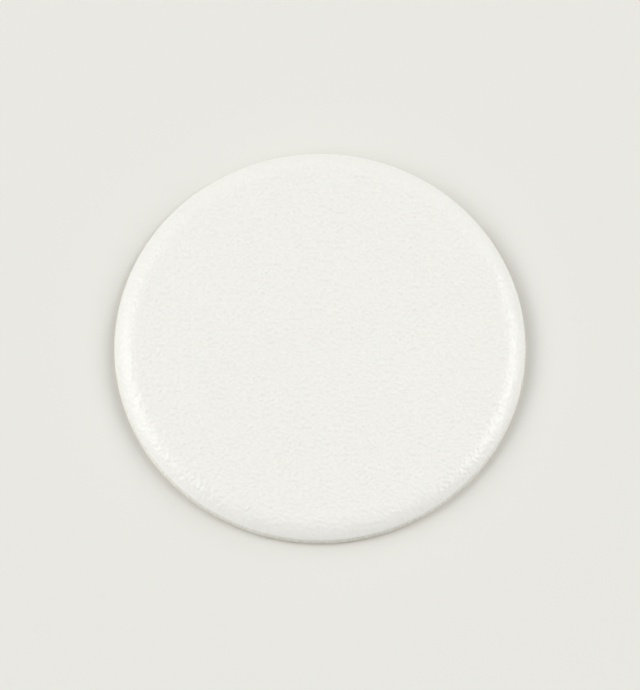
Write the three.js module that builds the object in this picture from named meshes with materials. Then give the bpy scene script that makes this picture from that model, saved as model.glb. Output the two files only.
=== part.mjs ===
// A self-adhesive screw cover cap: a round punched in one stroke out of matte vinyl film with adhesive
// on its back. It is pressed over a screw head in a cabinet panel to hide it.
// Millimetres. The origin is the middle of the adhesive face, and +Z points out of the face that shows.

import * as THREE from "three";

// The punched round
const capDiameter = 14.3; // nine sixteenths of an inch, across the widest part of the cut edge
const filmThickness = 0.5; // the vinyl film, at its middle
const adhesiveThickness = 0.1; // the coat under the film

// What the punch does to the edge: it drags the face down round the rim, then cuts nearly square
const rimWidth = 0.8; // the ring of face that is dragged down
const rimDrop = 0.28; // how far that ring has sunk where the cut starts
const cutLean = 0.04; // how much narrower the top of the cut is than its foot, on each side
const adhesiveSetback = 0.06; // the soft coat shrinks back from the cut by this much

// How finely the curves are divided
const roundSteps = 128;
const rimSteps = 12;

const filmRadius = capDiameter / 2;
const adhesiveRadius = filmRadius - adhesiveSetback;
const faceHeight = adhesiveThickness + filmThickness;
const cutTopRadius = filmRadius - cutLean;
const cutTopHeight = faceHeight - rimDrop;

// The rim is an arc of a circle that leaves the flat face without a kink and ends where it meets the cut.
// Its centre is straight under the place where it leaves, and its radius follows from its width and drop.
function rimCurve() {
  const flatRadius = cutTopRadius - rimWidth;
  const rimRadius = (rimWidth ** 2 + rimDrop ** 2) / (2 * rimDrop);
  const centreHeight = faceHeight - rimRadius;
  const startAngle = Math.atan2(cutTopHeight - centreHeight, rimWidth);
  return new THREE.EllipseCurve(flatRadius, centreHeight, rimRadius, rimRadius, startAngle, Math.PI / 2, false);
}

// Half of the cap's section, as radius and height, from the middle of its back round to the middle of its face.
function capSection() {
  const back = [new THREE.Vector2(0, 0), new THREE.Vector2(adhesiveRadius, 0)];
  const coatEdge = [new THREE.Vector2(adhesiveRadius, adhesiveThickness)];
  const cutFoot = [new THREE.Vector2(filmRadius, adhesiveThickness)];
  const rim = rimCurve().getPoints(rimSteps);
  const faceMiddle = [new THREE.Vector2(0, faceHeight)];
  return [...back, ...coatEdge, ...cutFoot, ...rim, ...faceMiddle];
}

// A lathe turns its section about Y, so the round is tipped over to stand on Z.
function makeCap() {
  const round = new THREE.LatheGeometry(capSection(), roundSteps);
  round.rotateX(Math.PI / 2);
  const matteVinyl = new THREE.MeshStandardMaterial({ color: 0xf0efe9, roughness: 0.62, metalness: 0 });
  const cap = new THREE.Mesh(round, matteVinyl);
  cap.name = "cover_cap";
  return cap;
}

const screwCoverCap = new THREE.Group();
screwCoverCap.name = "screw_cover_cap";
screwCoverCap.add(makeCap());

export default screwCoverCap;
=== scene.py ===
# %% [markdown]
# # A self-adhesive screw cover cap
#
# The real cap is a round, 14.3 mm across and 0.6 mm thick, punched in one stroke out of off-white vinyl
# film that has adhesive on its back. It is pressed over a screw head in a cabinet panel, and hides it.
# So small and plain a thing is made by its edge and its skin: the rim that the punch rolled over, the cut,
# the soft coat of adhesive under it, and the fine grain of the film. The cells below make them one by one.

# %% Load the measured model as a fixed frame
import math

import bmesh
import bpy
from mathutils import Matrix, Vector, noise


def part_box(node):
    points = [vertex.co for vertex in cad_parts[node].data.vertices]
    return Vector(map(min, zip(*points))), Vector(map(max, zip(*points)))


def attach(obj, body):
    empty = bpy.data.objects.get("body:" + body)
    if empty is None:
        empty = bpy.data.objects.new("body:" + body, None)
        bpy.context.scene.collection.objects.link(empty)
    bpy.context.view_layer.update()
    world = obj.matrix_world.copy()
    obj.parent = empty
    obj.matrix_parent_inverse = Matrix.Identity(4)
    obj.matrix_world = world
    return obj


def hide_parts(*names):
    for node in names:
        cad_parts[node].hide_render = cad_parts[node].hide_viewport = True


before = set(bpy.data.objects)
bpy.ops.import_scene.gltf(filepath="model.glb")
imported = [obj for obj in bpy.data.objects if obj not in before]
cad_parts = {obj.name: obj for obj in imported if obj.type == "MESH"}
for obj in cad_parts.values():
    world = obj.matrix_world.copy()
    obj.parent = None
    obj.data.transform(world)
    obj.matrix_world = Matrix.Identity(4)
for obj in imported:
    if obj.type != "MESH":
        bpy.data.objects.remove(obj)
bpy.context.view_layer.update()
cap_low, cap_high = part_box("cover_cap")

MM = 0.001
cap_radius = (cap_high.x - cap_low.x) / 2
cap_top = cap_high.z
print(f"the cap is {cap_radius * 2 / MM:.2f} mm across and {cap_top / MM:.2f} mm thick")

# %% [markdown]
# ## The camera
#
# The photo looks down on the cap from high up, yet not from straight above: a true circle shows about 5%
# less tall than wide, and its near side has a dark edge where its far side has none.
# A circle seen from a height shows flattened by the sine of that height, which puts the camera 71 degrees
# up. Nothing in the photo shrinks with distance, so the lens is a long one, and the camera stands well back.

# %% Point the camera at the middle of the cap
picture_width_px = 640
picture_height_px = 690
cap_width_px = 412
camera_height_deg = 71
lens_mm = 300
sensor_mm = 36
clip_factor = 100

focal_length_px = lens_mm / sensor_mm * max(picture_width_px, picture_height_px)
camera_distance = focal_length_px * cap_radius * 2 / cap_width_px
camera_height = math.radians(camera_height_deg)
cap_middle = Vector((0, 0, cap_top / 2))
way_to_camera = Vector((0, -math.cos(camera_height), math.sin(camera_height)))

camera_data = bpy.data.cameras.new("camera")
camera_data.lens = lens_mm
camera_data.sensor_width = sensor_mm
camera_data.clip_start = camera_distance / clip_factor
camera_data.clip_end = camera_distance * clip_factor
camera = bpy.data.objects.new("camera", camera_data)
camera.location = cap_middle + way_to_camera * camera_distance
camera.rotation_euler = (-way_to_camera).to_track_quat("-Z", "Y").to_euler()
bpy.context.scene.collection.objects.link(camera)
bpy.context.scene.camera = camera
print(f"the camera is {camera_distance:.2f} m away, {camera_height_deg} degrees up")

# %% [markdown]
# ## The rim
#
# A punch first drags the face of the film down all round, and only then cuts through it. So near the edge
# the face sinks, gently at first and then ever more steeply, until it meets the cut. An arc that leaves the
# level face without a kink does just that, and how wide and how deep the rim is gives its radius. Its points
# could be typed in, but Blender can draw it: spin a vertex about a centre that lies straight under it.

# %% Spin a vertex into the arc of the rim
rim_width = 0.8 * MM
rim_drop = 0.28 * MM
cut_lean = 0.04 * MM
rim_steps = 24
inside_the_box = 0.002 * MM

film_radius = cap_radius - inside_the_box
cut_top_radius = film_radius - cut_lean
flat_radius = cut_top_radius - rim_width
cut_top = cap_top - rim_drop
rim_radius = (rim_width**2 + rim_drop**2) / (2 * rim_drop)
rim_turn = math.asin(rim_width / rim_radius)

round_cap = bmesh.new()
face_end = round_cap.verts.new((flat_radius, 0, cap_top))
bmesh.ops.spin(
    round_cap,
    geom=[face_end],
    cent=(flat_radius, 0, cap_top - rim_radius),
    axis=(0, 1, 0),
    angle=rim_turn,
    steps=rim_steps,
)
cut_end = max(round_cap.verts, key=lambda vertex: vertex.co.x)
print(f"the rim turns down by {math.degrees(rim_turn):.0f} degrees on a radius of {rim_radius / MM:.2f} mm")

# %% [markdown]
# ## The rest of the section
#
# The rim is the only curve. From its foot the cut runs down, leaning out a little, to the underside of the
# film. There the adhesive starts, a little further in, because so soft a coat draws back from a blade. One
# vertex at each corner is enough, joined by edges in the order in which a pencil would draw them.

# %% Join the corners of the section
adhesive_thickness = 0.1 * MM
adhesive_setback = 0.06 * MM
adhesive_radius = film_radius - adhesive_setback


def draw_on(start, corners):
    """Draws straight edges from a vertex through corners given as radius and height."""
    for radius, height in corners:
        end = round_cap.verts.new((radius, 0, height))
        round_cap.edges.new((start, end))
        start = end


to_film_foot = [(film_radius, adhesive_thickness)]
round_the_coat = [(adhesive_radius, adhesive_thickness), (adhesive_radius, 0), (0, 0)]
draw_on(face_end, [(0, cap_top)])
draw_on(cut_end, to_film_foot + round_the_coat)
print(f"half of the section has {len(round_cap.verts)} vertices")

# %% [markdown]
# ## The round
#
# Spin now works as a lathe, and sweeps the section once round the axis. A full turn needs use_merge, so that
# the last step joins the first. The section begins and ends on the axis, where each step leaves a vertex of
# its own: merging the doubles closes the face and the back to a point. Last, the faces are told which side
# is out.

# %% Sweep the section round the axis
round_steps = 512
same_place = 0.0005 * MM

bmesh.ops.spin(
    round_cap,
    geom=round_cap.verts[:] + round_cap.edges[:],
    cent=(0, 0, 0),
    axis=(0, 0, 1),
    angle=math.tau,
    steps=round_steps,
    use_merge=True,
)
bmesh.ops.remove_doubles(round_cap, verts=round_cap.verts[:], dist=same_place)
bmesh.ops.recalc_face_normals(round_cap, faces=round_cap.faces[:])
print(f"the round has {len(round_cap.faces)} faces")

# %% [markdown]
# ## Three soft corners
#
# No edge of vinyl is as sharp as a vertex. Three rings still are: the top and the foot of the cut, and the
# lower corner of the adhesive, which swells out a little and rounds itself off. Bevel does them all, and
# only the width and the number of segments differ. The corner between film and coat stays sharp, because
# there one material ends on another.

# %% Round both ends of the cut and the corner of the coat
cut_top_rounding = 0.04 * MM
film_foot_rounding = 0.02 * MM
coat_corner_rounding = 0.06 * MM


def ring_edges(radius, height):
    """Lists the edges that lie on a ring round the axis."""
    found = []
    for edge in round_cap.edges:
        off_ring = [math.hypot(end.co.xy.length - radius, end.co.z - height) for end in edge.verts]
        if max(off_ring) < same_place:
            found.append(edge)
    return found


for radius, height, width, segments in (
    (cut_top_radius, cut_top, cut_top_rounding, 4),
    (film_radius, adhesive_thickness, film_foot_rounding, 3),
    (adhesive_radius, 0, coat_corner_rounding, 5),
):
    corner = ring_edges(radius, height)
    bmesh.ops.bevel(
        round_cap,
        geom=corner,
        offset=width,
        offset_type="OFFSET",
        segments=segments,
        profile=0.5,
        affect="EDGES",
        material=-1,
    )
    print(f"rounded a ring of {len(corner)} edges to {width / MM} mm")

# %% [markdown]
# ## The uneven edge of the adhesive
#
# A coat as soft as this never draws back by the same amount all round: it strings, springs back and creeps.
# Seen from the side, its edge wanders in and out under the film. Noise that is read at each vertex's own
# place moves the edge along its radius, long waves first and weaker short ones over them, and is the same
# on every run. The edge is all that lies in a ring just wider than the rounding of the coat's corner.

# %% Let the edge of the coat wander
long_wave = 1.7 * MM
short_wave = 0.4 * MM
short_wave_share = 0.4
wander = 0.045 * MM
edge_ring_width = coat_corner_rounding * 1.5

coat_edge = [
    vertex
    for vertex in round_cap.verts
    if vertex.co.z < adhesive_thickness + same_place
    and adhesive_radius - edge_ring_width < vertex.co.xy.length < adhesive_radius + same_place
]
for vertex in coat_edge:
    waves = noise.noise(vertex.co / long_wave) + short_wave_share * noise.noise(vertex.co / short_wave)
    outward = Vector((vertex.co.x, vertex.co.y, 0)).normalized()
    vertex.co += outward * wander * waves
upper_edge = [vertex for vertex in coat_edge if vertex.co.z > adhesive_thickness / 2]
setbacks = [(film_radius - vertex.co.xy.length) / MM for vertex in upper_edge]
print(f"the coat lies {min(setbacks):.3f} to {max(setbacks):.3f} mm inside the cut")

# %% [markdown]
# ## One piece, three surfaces
#
# The face with its rolled rim, the cut, and the adhesive are one piece with three finishes. They could be
# three objects, but then their shared edges would have to be kept closed by hand. It is simpler to give each
# face of the mesh the number of its finish, from where the face lies. Smooth shading rounds what is curved,
# and edges that turn sharply are marked, so that the corner under the film stays crisp.

# %% Give every face its finish
FILM, CUT, COAT = range(3)
sharp_angle = math.radians(35)

for face in round_cap.faces:
    face.smooth = True
    middle = face.calc_center_median()
    if middle.z < adhesive_thickness - same_place:
        face.material_index = COAT
    elif middle.z < cut_top:
        face.material_index = CUT
    else:
        face.material_index = FILM
for edge in round_cap.edges:
    edge.smooth = edge.calc_face_angle(0) < sharp_angle

cap_mesh = bpy.data.meshes.new("vinyl_cap")
round_cap.to_mesh(cap_mesh)
round_cap.free()
cap = bpy.data.objects.new("vinyl_cap", cap_mesh)
bpy.context.scene.collection.objects.link(cap)
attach(cap, "root")
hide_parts("cover_cap")
print(f"the finished cap has {len(cap_mesh.polygons)} faces")

# %% [markdown]
# ## Helpers for the materials
#
# A shader works in linear light, and a colour as given is not linear, so one function turns the second into
# the first. Another adds a node with its settings and links in one call, which keeps a material readable. A
# pattern's scale is how often it repeats in a metre, and so follows from its size in millimetres.

# %% Turn colours, add nodes, scale patterns


def linear(hex_colour):
    """Turns a colour written as #rrggbb into linear red, green, blue and alpha."""
    channels = [int(hex_colour[start : start + 2], 16) / 255 for start in (1, 3, 5)]
    straight = [level / 12.92 if level <= 0.04045 else ((level + 0.055) / 1.055) ** 2.4 for level in channels]
    return (*straight, 1)


def new_material(name, piece):
    """Adds an empty material to a piece and returns the material's node tree."""
    material = bpy.data.materials.new(name)
    material.use_nodes = True
    material.node_tree.nodes.clear()
    piece.data.materials.append(material)
    return material.node_tree


def add_node(tree, kind, inputs, settings=None):
    """Adds a node, sets it up, puts a value or a link into each input named, and returns its outputs."""
    node = tree.nodes.new(kind)
    for name, value in (settings or {}).items():
        setattr(node, name, value)
    for name, value in inputs.items():
        if isinstance(value, bpy.types.NodeSocket):
            tree.links.new(value, node.inputs[name])
        else:
            node.inputs[name].default_value = value
    return node.outputs


def per_metre(size_mm):
    """Says how often a pattern of this size repeats in a metre."""
    return 1 / (size_mm * MM)


# %% [markdown]
# ## The film
#
# The film is calendered vinyl: hot PVC rolled to a sheet, whose face takes a fine pebble from a blasted
# roller. It gives the eye an even, warm off-white with a soft sheen and no sharp reflection. Noise makes the
# pebbles, with hardly any detail, because detail would turn round pebbles into ragged ones, and a finer
# noise roughens their tops. Noise keeps to the middle third of its range, so a depth of 0.045 mm makes
# pebbles 0.015 mm deep.

# %% Emboss the film
pebble_mm = 0.12
pebble_depth_mm = 0.045
pebble_detail = 0.5
tooth_mm = 0.06
tooth_depth_mm = 0.001

film = new_material("calendered_matte_vinyl", cap)
place = add_node(film, "ShaderNodeTexCoord", {})["Object"]
pebble = add_node(
    film,
    "ShaderNodeTexNoise",
    {"Vector": place, "Scale": per_metre(pebble_mm), "Detail": pebble_detail},
)
tooth = add_node(film, "ShaderNodeTexNoise", {"Vector": place, "Scale": per_metre(tooth_mm), "Detail": 0})
print(f"there are {cap_radius * 2 / MM / pebble_mm:.0f} pebbles across the cap")

# %% [markdown]
# ## The film where the punch pressed it
#
# The punch drags the rim down and irons it while it does, so from the flat face to the cut the pebbles grow
# shallower and the surface smoother. The steel also burnishes the rim: it closes the skin of the vinyl, and
# that gives a second gloss over the first, for which the shader has its coat layer. It comes up sooner than
# the ironing, over the first third of a millimetre. Together they are why the rim catches the light. All of
# them follow from how far a point lies from the axis, and that is the length of its place with the height
# left out.

# %% Iron the rim
flat_roughness = 0.42
ironed_roughness = 0.27
pebbles_left = 0.3
burnish = 0.8
burnish_roughness = 0.3
burnish_fade = 0.32 * MM

across = add_node(film, "ShaderNodeVectorMath", {0: place, 1: (1, 1, 0)}, {"operation": "MULTIPLY"})
reach = add_node(film, "ShaderNodeVectorMath", {0: across["Vector"]}, {"operation": "LENGTH"})
over_the_rim = {"Value": reach["Value"], "From Min": flat_radius, "From Max": cut_top_radius}
roughness = add_node(
    film,
    "ShaderNodeMapRange",
    {**over_the_rim, "To Min": flat_roughness, "To Max": ironed_roughness},
)
grip = add_node(film, "ShaderNodeMapRange", {**over_the_rim, "To Min": 1, "To Max": pebbles_left})
skin = add_node(
    film,
    "ShaderNodeMapRange",
    {**over_the_rim, "From Max": flat_radius + burnish_fade, "To Max": burnish},
)
pebbled = add_node(
    film,
    "ShaderNodeBump",
    {"Height": pebble["Fac"], "Distance": pebble_depth_mm * MM, "Strength": grip["Result"]},
)
toothed = add_node(
    film,
    "ShaderNodeBump",
    {"Height": tooth["Fac"], "Distance": tooth_depth_mm * MM, "Normal": pebbled["Normal"]},
)
print(f"at the cut {pebbles_left:.0%} of the pebbles' depth is left")

# %% [markdown]
# ## The white of the film
#
# The pigment is a warm off-white, and drifts by a shade from place to place, as it does in a rolled sheet.
# Bump turns a surface but casts no shade, and under light from two sides fine pebbles would hardly show. So
# the valleys are painted a shade darker than the tops. That is painted shade, standing in for the shade that
# a bump cannot cast into them. One ramp does both: the height of the grain and a little of the drift are
# added and looked up in it. The ramp's darker end is the painted shade in the valleys as well as the darker
# drift.

# %% Colour the film and finish its shader
# The darker end of the ramp paints shade into the valleys of the grain, and also gives the darker drift of
# the white.
valley_white_with_painted_shade = "#EEEDE7"
top_white = "#F1F0EA"
cloud_mm = 2.4
cloud_detail = 2
cloud_share = 0.3
vinyl_ior = 1.53

cloud = add_node(
    film,
    "ShaderNodeTexNoise",
    {"Vector": place, "Scale": per_metre(cloud_mm), "Detail": cloud_detail},
)
shade = add_node(
    film,
    "ShaderNodeMath",
    {0: cloud["Fac"], 1: cloud_share, 2: pebble["Fac"]},
    {"operation": "MULTIPLY_ADD"},
)
# Low grain is coloured darker here: painted shade in the valleys, mixed with the real drift of the white.
white_and_painted_shade = add_node(film, "ShaderNodeValToRGB", {"Fac": shade["Value"]})["Color"]
painted_shade_end, top = white_and_painted_shade.node.color_ramp.elements
painted_shade_end.position = 0.45
painted_shade_end.color = linear(valley_white_with_painted_shade)
top.position = 0.85
top.color = linear(top_white)
surface = add_node(
    film,
    "ShaderNodeBsdfPrincipled",
    {
        "Base Color": white_and_painted_shade,
        "Roughness": roughness["Result"],
        "IOR": vinyl_ior,
        "Normal": toothed["Normal"],
        "Coat Weight": skin["Result"],
        "Coat Roughness": burnish_roughness,
        "Coat IOR": vinyl_ior,
        "Coat Normal": toothed["Normal"],
    },
)
add_node(film, "ShaderNodeOutputMaterial", {"Surface": surface["BSDF"]})
print(f"the pebbles are {pebble_mm} mm wide on clouds of {cloud_mm} mm")

# %% [markdown]
# ## The cut
#
# A blade leaves the inside of the film bare: the same vinyl, a touch creamier because no roller has closed
# it, and scored from top to bottom by every nick in the steel. It gives the eye a duller band with fine
# upright lines. The noise for them is squeezed along Z by a Mapping node, which draws it out into lines, and
# the same noise also colours the scores a little darker than the bare cut between them. Real scores are about
# 0.03 mm apart, too fine to show from here, so they are drawn three times as coarse.

# %% Make the cut vinyl
score_mm = 0.09
score_length_mm = 3.0
score_depth_mm = 0.03
score_cream = "#E6E3D9"
bare_cream = "#F0EEE6"
bare_roughness = 0.5

cut = new_material("die_cut_vinyl", cap)
place = add_node(cut, "ShaderNodeTexCoord", {})["Object"]
squeeze = (1, 1, score_mm / score_length_mm)
drawn_out = add_node(cut, "ShaderNodeMapping", {"Vector": place, "Scale": squeeze})
scores = add_node(
    cut,
    "ShaderNodeTexNoise",
    {"Vector": drawn_out["Vector"], "Scale": per_metre(score_mm), "Detail": 1},
)
scored = add_node(cut, "ShaderNodeBump", {"Height": scores["Fac"], "Distance": score_depth_mm * MM})
# The ramp makes the colour a little darker where the noise is low, in the scores.
cream = add_node(cut, "ShaderNodeValToRGB", {"Fac": scores["Fac"]})["Color"]
in_a_score, between_scores = cream.node.color_ramp.elements
in_a_score.position = 0.35
in_a_score.color = linear(score_cream)
between_scores.position = 0.6
between_scores.color = linear(bare_cream)
surface = add_node(
    cut,
    "ShaderNodeBsdfPrincipled",
    {"Base Color": cream, "Roughness": bare_roughness, "IOR": vinyl_ior, "Normal": scored["Normal"]},
)
add_node(cut, "ShaderNodeOutputMaterial", {"Surface": surface["BSDF"]})
print(f"the scores are {score_mm} mm apart")

# %% [markdown]
# ## The adhesive
#
# The coat is a clear acrylic adhesive, spread wet and dried, with the white film showing through it. It
# gives the eye a faintly yellow gloss over white, mottled where the coat dried thicker and thinner, and
# yellower where it is thick. The shader's own coat layer is made for that: the film's white below, and a
# clear tinted layer on top.

# %% Make the clear acrylic coat
mottle_mm = 0.9
mottle_depth_mm = 0.03
mottle_detail = 3
thin_coat_white = "#EFEDE5"
thick_coat_white = "#E7E3D4"
acrylic_tint = "#FAF7EC"
acrylic_roughness = 0.16
acrylic_ior = 1.47

coat = new_material("clear_acrylic_adhesive", cap)
place = add_node(coat, "ShaderNodeTexCoord", {})["Object"]
mottle = add_node(
    coat,
    "ShaderNodeTexNoise",
    {"Vector": place, "Scale": per_metre(mottle_mm), "Detail": mottle_detail},
)
mottled = add_node(coat, "ShaderNodeBump", {"Height": mottle["Fac"], "Distance": mottle_depth_mm * MM})
yellowed = add_node(coat, "ShaderNodeValToRGB", {"Fac": mottle["Fac"]})["Color"]
thin, thick = yellowed.node.color_ramp.elements
thin.position = 0.35
thin.color = linear(thin_coat_white)
thick.position = 0.7
thick.color = linear(thick_coat_white)
surface = add_node(
    coat,
    "ShaderNodeBsdfPrincipled",
    {
        "Base Color": yellowed,
        "Roughness": bare_roughness,
        "IOR": vinyl_ior,
        "Normal": mottled["Normal"],
        "Coat Weight": 1,
        "Coat Roughness": acrylic_roughness,
        "Coat IOR": acrylic_ior,
        "Coat Tint": linear(acrylic_tint),
        "Coat Normal": mottled["Normal"],
    },
)
add_node(coat, "ShaderNodeOutputMaterial", {"Surface": surface["BSDF"]})
print(f"the mottle is {mottle_mm} mm wide")

# %% [markdown]
# ## The floor
#
# A plain pale floor, a shade darker than the cap, lets the white round stand out and takes its shadow.

# %% Lay the floor
floor_width = 4.0
floor_colour = "#E8E7E1"
paint_roughness = 0.9

floor_shape = bmesh.new()
bmesh.ops.create_grid(floor_shape, x_segments=1, y_segments=1, size=floor_width / 2)
floor_mesh = bpy.data.meshes.new("floor")
floor_shape.to_mesh(floor_mesh)
floor_shape.free()
floor = bpy.data.objects.new("floor", floor_mesh)
bpy.context.scene.collection.objects.link(floor)
paint = new_material("matte_pale_paint", floor)
surface = add_node(
    paint,
    "ShaderNodeBsdfPrincipled",
    {"Base Color": linear(floor_colour), "Roughness": paint_roughness},
)
add_node(paint, "ShaderNodeOutputMaterial", {"Surface": surface["BSDF"]})
print(f"the floor is {floor_width} m wide")

# %% [markdown]
# ## The room
#
# A pale room surrounds a product on a photographer's table. Its walls give hardly any light, and the shadows
# stay deep, but they are what the eye and the gloss see beside the lamps. Light Path tells those rays apart:
# one that comes from the camera or from a gloss finds a pale wall, and every other ray finds a dim one.

# %% Surround the table with a pale room
room_light = 0.03
wall_brightness = 0.85

world = bpy.data.worlds.new("pale_room")
world.use_nodes = True
room = world.node_tree
room.nodes.clear()
ray = add_node(room, "ShaderNodeLightPath", {})
looks = add_node(
    room,
    "ShaderNodeMath",
    {0: ray["Is Camera Ray"], 1: ray["Is Glossy Ray"]},
    {"operation": "MAXIMUM"},
)
strength = add_node(
    room,
    "ShaderNodeMapRange",
    {"Value": looks["Value"], "To Min": room_light, "To Max": wall_brightness},
)
sky = add_node(room, "ShaderNodeBackground", {"Color": (1, 1, 1, 1), "Strength": strength["Result"]})
add_node(room, "ShaderNodeOutputWorld", {"Surface": sky["Background"]})
bpy.context.scene.world = world
print(f"the room gives {room_light:.0%} of the light")

# %% [markdown]
# ## The lamps
#
# In the photo the shadow is darkest on the right and there is none behind, and the rim shines on the left
# and on the right. A small product is lit like that by a long strip, low down on either side, that casts the
# shadows, and a small panel higher up on either side, that shines in the rim. A lamp's power follows from
# how much of the full light it shall give, and from how much of the half sphere over a face turned to it a
# rectangle of its size fills, for which there is a formula.

# %% Aim lamps at the cap
lamp_distance = 1.2


def part_of_sky(half_width, half_height):
    """Says how much of a face's sky a rectangle before it fills, from its half sides over its distance."""
    slant_1, slant_2 = math.hypot(1, half_width), math.hypot(1, half_height)
    side_1 = half_width / slant_1 * math.atan(half_height / slant_1)
    side_2 = half_height / slant_2 * math.atan(half_width / slant_2)
    return 2 / math.pi * (side_1 + side_2)


def add_lamp(name, bearing_deg, height_deg, width, depth, share):
    """Adds a lamp of this size, aimed at the cap, that gives a level face this share of its full light."""
    bearing = math.radians(bearing_deg)
    height = math.radians(height_deg)
    level_way = Vector((math.cos(bearing), math.sin(bearing), 0))
    way = level_way * math.cos(height) + Vector((0, 0, math.sin(height)))
    filled = part_of_sky(width / 2 / lamp_distance, depth / 2 / lamp_distance)
    lamp_data = bpy.data.lights.new(name, "AREA")
    lamp_data.shape = "RECTANGLE"
    lamp_data.size = width
    lamp_data.size_y = depth
    lamp_data.energy = share * math.pi * width * depth / (filled * math.sin(height))
    lamp = bpy.data.objects.new(name, lamp_data)
    lamp.location = way * lamp_distance
    lamp.rotation_euler = (-way).to_track_quat("-Z", "Y").to_euler()
    bpy.context.scene.collection.objects.link(lamp)
    print(f"{name}: {lamp_data.energy:.2f} W")
    return lamp


add_lamp("left_panel", bearing_deg=166, height_deg=52, width=0.7, depth=0.4, share=0.16)
add_lamp("right_panel", bearing_deg=14, height_deg=52, width=0.7, depth=0.4, share=0.19)
strips = [
    add_lamp("left_strip", bearing_deg=182, height_deg=31, width=2.4, depth=0.5, share=0.34),
    add_lamp("right_strip", bearing_deg=12, height_deg=31, width=3.4, depth=0.5, share=0.285),
]

# %% [markdown]
# ## The glare of the strips
#
# Seen from low down even a matte film mirrors what stands low behind it, and the strips would turn its whole
# face white. A photographer takes such a glare away with crossed polarisers, one over the lamp and one on
# the lens: the lamp lights as before, but no gloss shows it. Cycles does the same when a lamp is hidden from
# glossy rays.

# %% Take the glare off the strips
for strip in strips:
    strip.visible_glossy = False
print(f"no gloss shows the {len(strips)} strips")

# %% [markdown]
# ## The colours on screen
#
# Blender's usual view transform presses bright colours together, as film does. The lamps here light the cap
# at a plain level, and Standard then shows each colour about as it is written.

# %% Show colours as they are written
view = bpy.context.scene.view_settings
view.view_transform = "Standard"
print(f"the view transform is {view.view_transform}")
